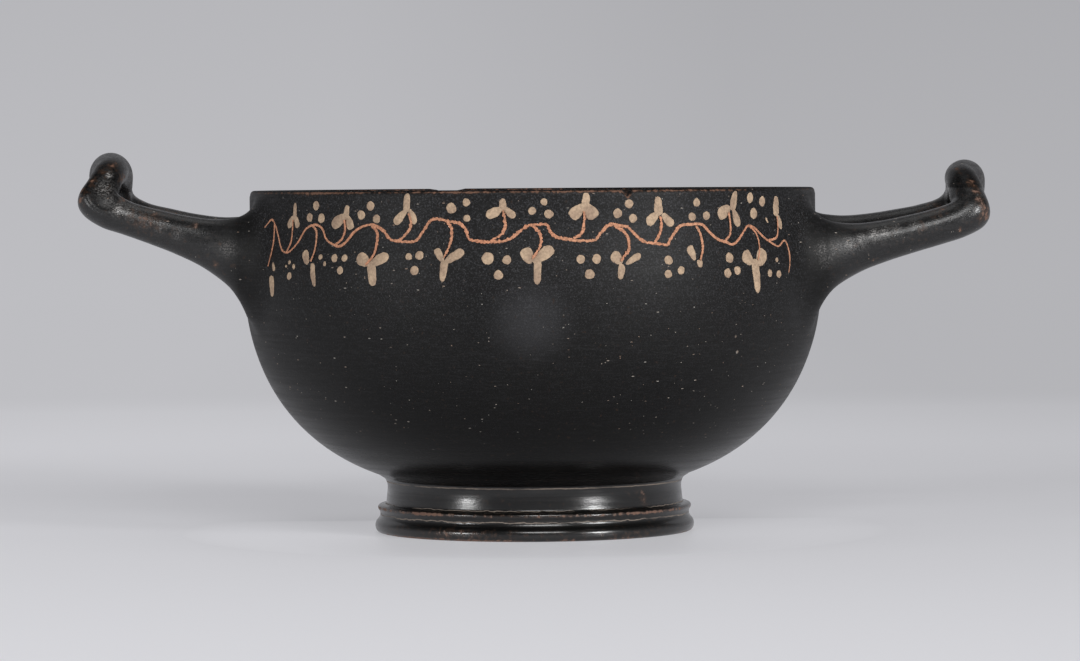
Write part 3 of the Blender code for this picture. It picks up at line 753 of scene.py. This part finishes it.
STALKS = ((-62.3, 65.8, -61.9, 62.4, -62, 59.8, -62.6, 57),
    (-56.2, 60, -54.9, 62, -54.6, 64.5, -54.5, 66.6),
    (-48.4, 65.5, -46.9, 64.1, -46.8, 60.8, -47.6, 58.2),
    (-41.3, 61.6, -39.7, 62.8, -39, 64.6, -39.2, 66.6),
    (-32.6, 65.5, -31.2, 63.9, -31.5, 60.1, -33.3, 57.6),
    (-26.5, 62.4, -24.7, 63.9, -23.8, 65.9, -24.4, 67.9),
    (-16.5, 66.2, -15.5, 64.6, -15.8, 61.6, -16.8, 59.1),
    (-8, 62.3, -5.8, 63.8, -5.1, 65.3, -5.5, 68.3), (0.1, 65.4, 1.5, 63.7, 1.5, 61.2, 0, 58.8),
    (7.9, 62.7, 9.3, 63.7, 10, 65.7, 9.9, 68), (15.9, 65.2, 18.1, 63.6, 18.6, 60.8, 16.8, 58.1),
    (24, 61.8, 25, 63.2, 25.6, 65.2, 25.3, 67), (33.4, 64.9, 34.2, 63.4, 34.5, 60.6, 33.6, 58.1),
    (40.4, 62, 41.8, 63.3, 41.9, 65.5, 41.5, 67.6),
    (47.4, 64.7, 49.3, 63.1, 49.7, 60.3, 48.7, 57.8),
    (53, 61.8, 55.9, 62.3, 56.7, 64.3, 56.5, 66.6))
WRAP_RADIUS = 60
STEM_HALF_WIDTH = 0.27
hand = np.random.default_rng(11)


def on_both_sides(strokes):
    """Flat (distance round, level) strokes for the front, then mirrored ones for the back."""
    both = []
    for mirror in (1, -1):
        for stroke in strokes:
            flat = np.reshape(stroke, (-1, 2)).astype(float)
            if mirror < 0:
                flat[:, 0] = 180 - flat[:, 0]
                flat += hand.uniform(-0.25, 0.25, 2)
            flat[:, 0] *= math.radians(1) * WRAP_RADIUS
            both.append(flat)
    return both


def wrap_on_wall(add, flat, wall):
    """Nodes that carry a flat geometry (distance round, level, height) onto the wall."""
    around, upwards, off = add("SeparateXYZ", add("InputPosition")).outputs
    turned = add("DIVIDE", around, WRAP_RADIUS)
    minus_sine = add("MULTIPLY", add("SINE", turned), -1)
    inward = add("CombineXYZ", X=minus_sine, Y=add("COSINE", turned))
    level = add("CombineXYZ", Z=add("MULTIPLY", upwards, MM))
    outside = add("VectorMath MULTIPLY_ADD", inward, (-0.075, -0.075, 0), level)
    standing = add("ObjectInfo", Object=wall).outputs["Geometry"]
    hit = add("Raycast", Target_Geometry=standing, Source_Position=outside, Ray_Direction=inward,
        Ray_Length=0.1).outputs
    raised = add("VectorMath SCALE", hit["Hit Normal"], Scale=add("MULTIPLY", off, MM))
    on_wall = add("VectorMath ADD", hit["Hit Position"], raised)
    return add("SetPosition", flat, Position=on_wall)


def crumbled(add, flat, sizes, amount):
    """Nodes that push a flat geometry about by noises, each of a (scale, share of amount)."""
    for scale, share in sizes:
        noise = add("TexNoise", Vector=add("InputPosition"), Scale=scale, Detail=2)
        push = add("VectorMath SUBTRACT", noise.outputs["Color"], (0.5, 0.5, 0.5))
        push = add("VectorMath MULTIPLY", push, (share, share, 0))
        push = add("VectorMath SCALE", push, Scale=amount)
        flat = add("SetPosition", flat, Offset=push)
    return flat


scratching, add, given = new_rule("scratching", {"Wall": "Object", "Step": "Float",
    "Raggedness": "Float", "Clay": "Material"})
lines = add("MeshToCurve", given["Geometry"])
lines = add("CurveSplineType", lines, spline_type="CATMULL_ROM")
lines = add("SetSplineResolution", lines, Resolution=8)
lines = add("ResampleCurve", lines, Length=given["Step"], mode="LENGTH")
lines = add("SetCurveNormal", lines, mode="Z_UP")
# The scratch's section: a shallow dish between two low burrs.
section = add("CurvePrimitiveCircle", Resolution=14, Radius=1)
aside, upwards, _ = add("SeparateXYZ", add("InputPosition")).outputs
dish = add("MULTIPLY_ADD", add("MULTIPLY", aside, aside), 0.14, 0.05)
height = add("Mix", add("GREATER_THAN", upwards, 0.1), A=-0.3, B=dish)
section = add("SetPosition", section, Position=add("CombineXYZ", X=aside, Y=height))
half_width, is_stalk = [add("InputNamedAttribute FLOAT", Name=name)
    for name in ("half_width", "stalk")]
scratch = add("CurveToMesh", lines, section, Scale=half_width, Fill_Caps=True)
# It tore the slip's edges most in the middle of each side.
torn_at = add("DIVIDE", add("SeparateXYZ", add("InputPosition")), WRAP_RADIUS)
torn_at = add("ABSOLUTE", add("COSINE", torn_at))
tearing = add("MapRange", torn_at, 0.82, 0.93, 0.3, 1)
tearing = add("MULTIPLY", tearing, given["Raggedness"])
scratch = crumbled(add, scratch, ((2.6, 1.5), (0.6, 0.5)), tearing)
is_stalk = add("Compare GREATER_THAN", is_stalk, 0.5)
joined = add("MeshBoolean UNION", solver="MANIFOLD")
for side in add("SeparateGeometry", scratch, is_stalk).outputs:
    scratching.links.new(side, joined.inputs["Mesh 2"])
finish_rule(add, wrap_on_wall(add, joined, given["Wall"]), given["Clay"])

# A stalk rises at its end, where it runs on over its leaf.
stem_points, stem_edges, half_widths, stalk_flags = [], [], [], []
for number, flat in enumerate(on_both_sides([STEM_WAVES]) + on_both_sides(STALKS)):
    last = len(flat) - 1
    stem_edges += [(len(stem_points) + i, len(stem_points) + i + 1) for i in range(last)]
    is_branch = number >= 2
    for step, (along, level) in enumerate(flat):
        to_end = last - step if is_branch else min(step, last - step)
        pressure = ((0.8, 0.9, 1) if is_branch else (0.62, 0.85, 1))[min(to_end, 2)]
        aside = abs(math.cos(along / WRAP_RADIUS))
        pressure *= 0.74 + 0.26 * min(max((aside - 0.62) / 0.18, 0), 1)
        half_widths.append(STEM_HALF_WIDTH * pressure * hand.uniform(0.85, 1.15))
        stalk_flags.append(is_branch)
        stem_points.append((along, level, {0: 0.26, 1: 0.1}.get(to_end, 0) * is_branch))
stem_lines = new_mesh("stem_lines", stem_points, stem_edges, [],
    {"half_width": half_widths, "stalk": stalk_flags})
bare = bpy.data.materials.new("bare_fired_clay")
stem = placed("garland_stem", made_by_rule("garland_stem", stem_lines, scratching,
    {"Wall": cup, "Step": 0.15, "Raggedness": 0.6, "Clay": bare}))


def chalky(clay, colours, crumb_scale, drift_scale, drifting, shades, strength, distance, rough):
    """Makes a material of dry clay: two colours that drift into each other, and crumbs."""
    add = emptied(clay)
    in_mm = add("VectorMath SCALE", add("TexCoord").outputs["Object"], Scale=1000)
    crumbs = add("TexNoise", Vector=in_mm, Scale=crumb_scale, Detail=4)
    drifts = add("TexNoise", Vector=in_mm, Scale=drift_scale, Detail=2)
    low, high = map(linear, colours)
    mixed = add("Mix RGBA", add("MapRange", drifts, *drifting), A=low, B=high)
    shaded = add("VectorMath SCALE", mixed, Scale=add("MapRange", crumbs, *shades))
    uneven = add("Bump", Height=crumbs, Strength=strength, Distance=distance)
    surface = add("BsdfPrincipled", Base_Color=shaded, Roughness=rough, Normal=uneven)
    add("OutputMaterial", Surface=surface)


# Fired clay, orange and a little chalky.
chalky(bare, ("#c48060", "#cf9d7c"), 2.2, 0.12, (0, 1), (0.35, 0.62, 0.55, 1.08), 0.5, 0.00008,
    0.85)

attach(stem, "root")


# ---- The garland: its leaves and berries ----
# Leaves of two lobes and a tip, and berries in threes, dabbed with a loaded brush in thick cream
# clay over the slip. Each dab is one stroke, domed and ragged; the strokes of a leaf run together.

# A stroke: azimuth and level where the brush is set down, and where it is lifted, and its width.
TIPS = ((-54.3, 66.6, -54, 69.9, 1.2), (-39.2, 67.1, -38.6, 69.3, 1.5),
    (-25, 68.4, -24.6, 71.6, 1.5), (-5.7, 68.5, -5.6, 70.5, 1.5), (10.1, 68.6, 10.5, 71.5, 1.6),
    (25.1, 67.5, 25, 70.6, 1.8), (42.7, 68.3, 43.6, 71.5, 1.7), (56.5, 67.1, 56.7, 70.3, 2.1),
    (-47.4, 57.6, -46.7, 53.4, 1.4), (-32.1, 57.6, -31.8, 53.8, 2),
    (-16.8, 58.3, -17.1, 54.6, 1.5), (-61.6, 54.7, -61.5, 51.2, 1.9), (1, 58.5, 0.9, 53.9, 1.5),
    (17, 57.3, 16.8, 54.8, 1.3), (33.6, 57.9, 33.7, 56.9, 1.3), (47.9, 57.6, 48.8, 51.6, 2.1))
LEFT_LOBES = ((-54.5, 67.3, -56.3, 65.4, 1.6), (-39.3, 67.4, -42.2, 65.6, 2.3),
    (-25, 68.6, -27.2, 66.1, 1.7), (-5.9, 68.8, -8.4, 67.4, 1.9), (9.7, 69, 7.8, 67.3, 2.4),
    (24.7, 67.5, 22.9, 65.7, 1.9), (41.6, 68.4, 39.4, 67.1, 2.5), (-48.9, 57.9, -49.9, 59.9, 2),
    (-32.9, 57.9, -35, 59.1, 2.5), (-17.2, 58.5, -18.4, 60.6, 1.5), (-0.6, 58.4, -1.3, 60.4, 2.4),
    (16.8, 58, 15.6, 59.4, 2.2), (32.5, 58.4, 31.5, 60.6, 1.6), (46.8, 57.5, 45.3, 59, 2.8),
    (53.3, 65.4, 52.9, 66.2, 0.6), (-61.2, 57.6, -60.6, 56.2, 1))
RIGHT_LOBES = ((-54.1, 67.2, -53, 65.3, 1.5), (-38.5, 67.2, -37.6, 65, 1.8),
    (-24.2, 68.6, -23.2, 66.1, 1.5), (-5.3, 68.8, -3.4, 67.2, 1.4), (10.4, 69, 12, 67.2, 2.5),
    (26.1, 67.3, 27.8, 65.4, 1.8), (43.1, 67.9, 44.3, 65.1, 1.7), (57, 66.8, 58.1, 64.4, 1.6),
    (-32.5, 57.7, -28.8, 59.4, 2), (-16.5, 58.3, -13.4, 60.2, 1.8), (0.4, 58.4, 3.6, 60.6, 2.2),
    (18.1, 57.7, 20.7, 59.3, 1.4), (49.1, 57.2, 50.8, 59.3, 2.9))
# A berry: azimuth, level and size.
BERRIES = ((-49.4, 67.1, 1.8), (-45.8, 67, 1.9), (-47.4, 69.5, 1.9), (-35.3, 67.6, 1.9),
    (-31.6, 66.8, 1.8), (-33.1, 69.5, 1.9), (-15.7, 68.9, 2.1), (-12.7, 70.1, 1.6),
    (-12.7, 66.9, 1.4), (-0.1, 68.3, 1.5), (2.2, 70.1, 1.4), (3.1, 67.6, 1.8), (16.5, 67.7, 1.9),
    (18.9, 69.5, 1.7), (19.6, 66.7, 1.7), (33.6, 69.7, 1.7), (32.5, 66.8, 1.7), (35.9, 67, 1.7),
    (47.8, 70.5, 2.1), (51.6, 69.7, 2.1), (48.8, 67.3, 2.2), (-41.4, 58.9, 1.6),
    (-38.8, 58.9, 1.5), (-39.8, 56.4, 1.6), (-24.2, 59.3, 1.4), (-22, 59.5, 1.8),
    (-22.9, 56.5, 1.8), (-54.8, 57.9, 0.9), (-53.3, 57, 1.1), (-54.7, 55.1, 1.6), (-56, 57.2, 0.6),
    (-45.2, 59.1, 1.1), (-43.9, 57.7, 0.8), (-8.5, 58.9, 2.4), (-4.9, 58.6, 1.8),
    (-6.5, 55.6, 1.8), (9, 58.6, 1.7), (12.1, 58.6, 1.8), (10.7, 55.6, 1.9), (26.6, 58.2, 1.8),
    (26.4, 55.4, 1.7), (29.2, 56.1, 1.6), (40.9, 58.4, 2.1), (40.2, 55.3, 1.9), (42.8, 55.8, 1.8),
    (55, 57.7, 1), (52.4, 55, 1.5), (55.5, 54.8, 1.7))
DAB_THICKNESS = 0.3

dabbing, add, given = new_rule("dabbing", {"Wall": "Object", "Segments": "Int", "Rings": "Int",
    "Raggedness": "Float", "Clay": "Material"})
ball = add("MeshUVSphere", given["Segments"], given["Rings"], 1)
ball = add("StoreNamedAttribute", ball, Name="on_ball", Value=add("InputPosition"),
    data_type="FLOAT_VECTOR", domain="POINT")
DAB_NUMBERS = ("length", "width", "thickness", "lean", "taper", "square", "group")
length, width, thickness, lean, taper, square, group = [
    add("InputNamedAttribute FLOAT", Name=name) for name in DAB_NUMBERS]
dabs = add("InstanceOnPoints", given["Geometry"], Instance=ball,
    Rotation=add("CombineXYZ", Z=lean), Scale=add("CombineXYZ", length, width, thickness))
dabs = add("RealizeInstances", dabs)
# Squarer ends than a ball's, and one end wider than the other.
on_ball = add("InputNamedAttribute FLOAT_VECTOR", Name="on_ball")
along, across, _ = add("SeparateXYZ", on_ball).outputs
squarer = add("MULTIPLY", add("MULTIPLY", along, along), square)
widened = add("MULTIPLY_ADD", along, taper, squarer)
widened = reduce(partial(add, "MULTIPLY"), (widened, width, across))
sideways = add("VectorRotate", (0, 1, 0), Angle=lean, rotation_type="Z_AXIS")
sideways = add("VectorMath SCALE", sideways, Scale=widened)
dabs = add("SetPosition", dabs, Offset=sideways)
dabs = crumbled(add, dabs, ((1.6, 1), (0.5, 1.4)), given["Raggedness"])
run_together = add("MeshBoolean UNION", solver="MANIFOLD")
for number in range(3):
    of_group = add("Compare EQUAL", group, number, Epsilon=0.1)
    strokes = add("SeparateGeometry", dabs, of_group).outputs["Selection"]
    dabbing.links.new(strokes, run_together.inputs["Mesh 2"])
finish_rule(add, wrap_on_wall(add, run_together, given["Wall"]), given["Clay"])


def dab_host(name, strokes):
    """A host mesh of one point for each stroke: its four measures, width, taper, square, group."""
    middles, rows = [], []
    for flat, stroke in zip(on_both_sides([stroke[:4] for stroke in strokes]), strokes * 2):
        width, taper, square, group = stroke[4:]
        along = flat[1] - flat[0]
        middles.append((*flat.mean(axis=0), 0))
        rows.append((np.linalg.norm(along) / 2 + width * 0.22, width / 2,
            DAB_THICKNESS * hand.uniform(0.35, 0.6), math.atan2(along[1], along[0]),
            taper, square, group))
    return new_mesh(name, middles, [], [], dict(zip(DAB_NUMBERS, zip(*rows))))


leaf_strokes = [(*stroke, *shape) for strokes, shape in ((TIPS, (-0.15, 0.45, 0)),
    (LEFT_LOBES, (0.3, 0.2, 1)), (RIGHT_LOBES, (0.3, 0.2, 2))) for stroke in strokes]
berry_strokes = [(azimuth, z - size * 0.28, azimuth + 0.2, z + size * 0.28, size, 0, 0, n % 3)
    for n, (azimuth, z, size) in enumerate(BERRIES)]
cream = bpy.data.materials.new("cream_added_clay")
for name, strokes, segments, rings in (("garland_leaves", leaf_strokes, 28, 12),
        ("garland_berries", berry_strokes, 20, 10)):
    piece = placed(name, made_by_rule(name, dab_host(name + "_strokes", strokes), dabbing,
        {"Wall": cup, "Segments": segments, "Rings": rings, "Raggedness": 0.35, "Clay": cream}))
    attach(piece, "root")

# Cream clay, chalky, browned where it is thin.
chalky(cream, ("#a38a74", "#c0a68a"), 2, 0.35, (0.35, 0.65), (0.35, 0.6, 0.75, 1.05), 0.4, 0.0001,
    0.8)


# ---- The studio ----
# A pale paper sweep under and behind the cup that glows a little, as painted light; two low soft
# boxes at the sides, one over the front and one overhead, in a room that is bright low down; the
# camera.

# In metres: the sweep's line as (back, up), with a quarter of a circle between floor and wall.
SWEEP_HALF_WIDTH = 3
BEND_START, BEND_RADIUS = 1.9, 0.8
sweep_line = [(back, 0) for back in (-2.6, -1, 0, 1, BEND_START)]
for angle in np.radians(np.linspace(0, 90, 13))[1:]:
    sweep_line.append((BEND_START + BEND_RADIUS * math.sin(angle),
        BEND_RADIUS - BEND_RADIUS * math.cos(angle)))
sweep_line.append((2.7, 3))
sweep_points = [(x, y, z) for y, z in sweep_line for x in (-SWEEP_HALF_WIDTH, SWEEP_HALF_WIDTH)]
sweep_faces = [(2 * i, 2 * i + 1, 2 * i + 3, 2 * i + 2) for i in range(len(sweep_line) - 1)]
sweep_mesh = new_mesh("paper_sweep", sweep_points, [], sweep_faces, {})
sweep_mesh.shade_smooth()

paper = bpy.data.materials.new("matt_paper")
add = emptied(paper)
place = add("TexCoord").outputs["Object"]
from_cup = add("VectorMath LENGTH", place)
along_x, back, up = add("SeparateXYZ", place).outputs
# Painted light and shade: the sheet is paler to the left and greyer to the right.
aside = add("MapRange", along_x, -0.14, 0.14, 1.05, 0.93)
# Painted shade on the sheet: it is greyer farther back, and greyer away from the cup near the soft
# boxes, or they would burn it out.
painted_shading = reduce(partial(add, "MULTIPLY"), (
    add("MapRange SMOOTHERSTEP", back, -0.3, 0.6, 1, 0.8), aside,
    add("MapRange SMOOTHSTEP", from_cup, 0.3, 0.65, 1, 0.2)))
tone = add("VectorMath SCALE", linear("#b8b8bb")[:3], Scale=painted_shading)
# The sheet glows, which is painted light: more farther back and to the left, less higher up.
higher = add("MapRange", up, 0, 0.3, 0, -0.065)
farther = add("MapRange", back, 0.15, 0.5, 0.355, 0.49)
painted_glow = add("MULTIPLY", add("ADD", higher, farther), aside)
# The sheet is smoother before the cup.
smoothed = add("MapRange SMOOTHSTEP", from_cup, 0.035, 0.075, 1, 0)
smoothed = add("MULTIPLY", smoothed, add("MapRange", back, -0.02, 0.03, 0.8, 0))
surface = add("BsdfPrincipled", Base_Color=tone, Roughness=0.42, Specular_IOR_Level=smoothed,
    Emission_Color=linear("#fafaff"), Emission_Strength=painted_glow)
add("OutputMaterial", Surface=surface)
sweep_mesh.materials.append(paper)
floor = placed("paper_sweep", sweep_mesh)

world = bpy.data.worlds.new("studio_room")
bpy.context.scene.world = world
add = emptied(world)
along_x, _, up = add("SeparateXYZ", add("TexCoord").outputs["Generated"]).outputs
raised = add("MapRange", up, 0.08, 0.45, 0.45, 0.1)
sideways = add("MapRange SMOOTHSTEP", add("ABSOLUTE", along_x), 0.6, 0.95, 0.9, 1.1)
raised = add("MULTIPLY", raised, sideways)
add("OutputWorld", Surface=add("Background", Color=linear("#fafaff"), Strength=raised))

# A soft box: azimuth from the front and elevation in degrees, distance, width and height in
# metres, and its power in watts.
for name, azimuth, elevation, distance, width, height, power in (
        ("left_box", -53, 9, 1.2, 0.2, 0.16, 2.7), ("right_box", 47, 13, 1.2, 0.2, 0.2, 6.5),
        ("front_box", 6, 32, 1.3, 0.6, 0.26, 5.5), ("top_box", 180, 80, 1.4, 0.8, 0.8, 1.5)):
    data = bpy.data.lights.new(name, "AREA")
    data.shape = "RECTANGLE"
    data.size, data.size_y = width, height
    data.energy = power
    lamp = placed(name, data)
    around, above = math.radians(azimuth), math.radians(elevation)
    lamp.location = (distance * math.cos(above) * math.sin(around),
        -distance * math.cos(above) * math.cos(around), 0.03 + distance * math.sin(above))
    lamp.rotation_euler = (math.radians(90) - above, 0, around)
    lamp.visible_camera = False

lens = bpy.data.cameras.new("camera")
lens.sensor_width = 36
lens.lens = 153.87
lens.clip_start = 0.05
lens.clip_end = 20
camera = placed("camera", lens)
camera.location = (0.00142, -0.98, 0.0756)
camera.rotation_mode = "QUATERNION"
level_gaze = Quaternion((1, 0, 0), math.radians(90 - 1.94))
camera.rotation_quaternion = level_gaze @ Quaternion((0, 0, 1), math.radians(-0.41))
bpy.context.scene.camera = camera
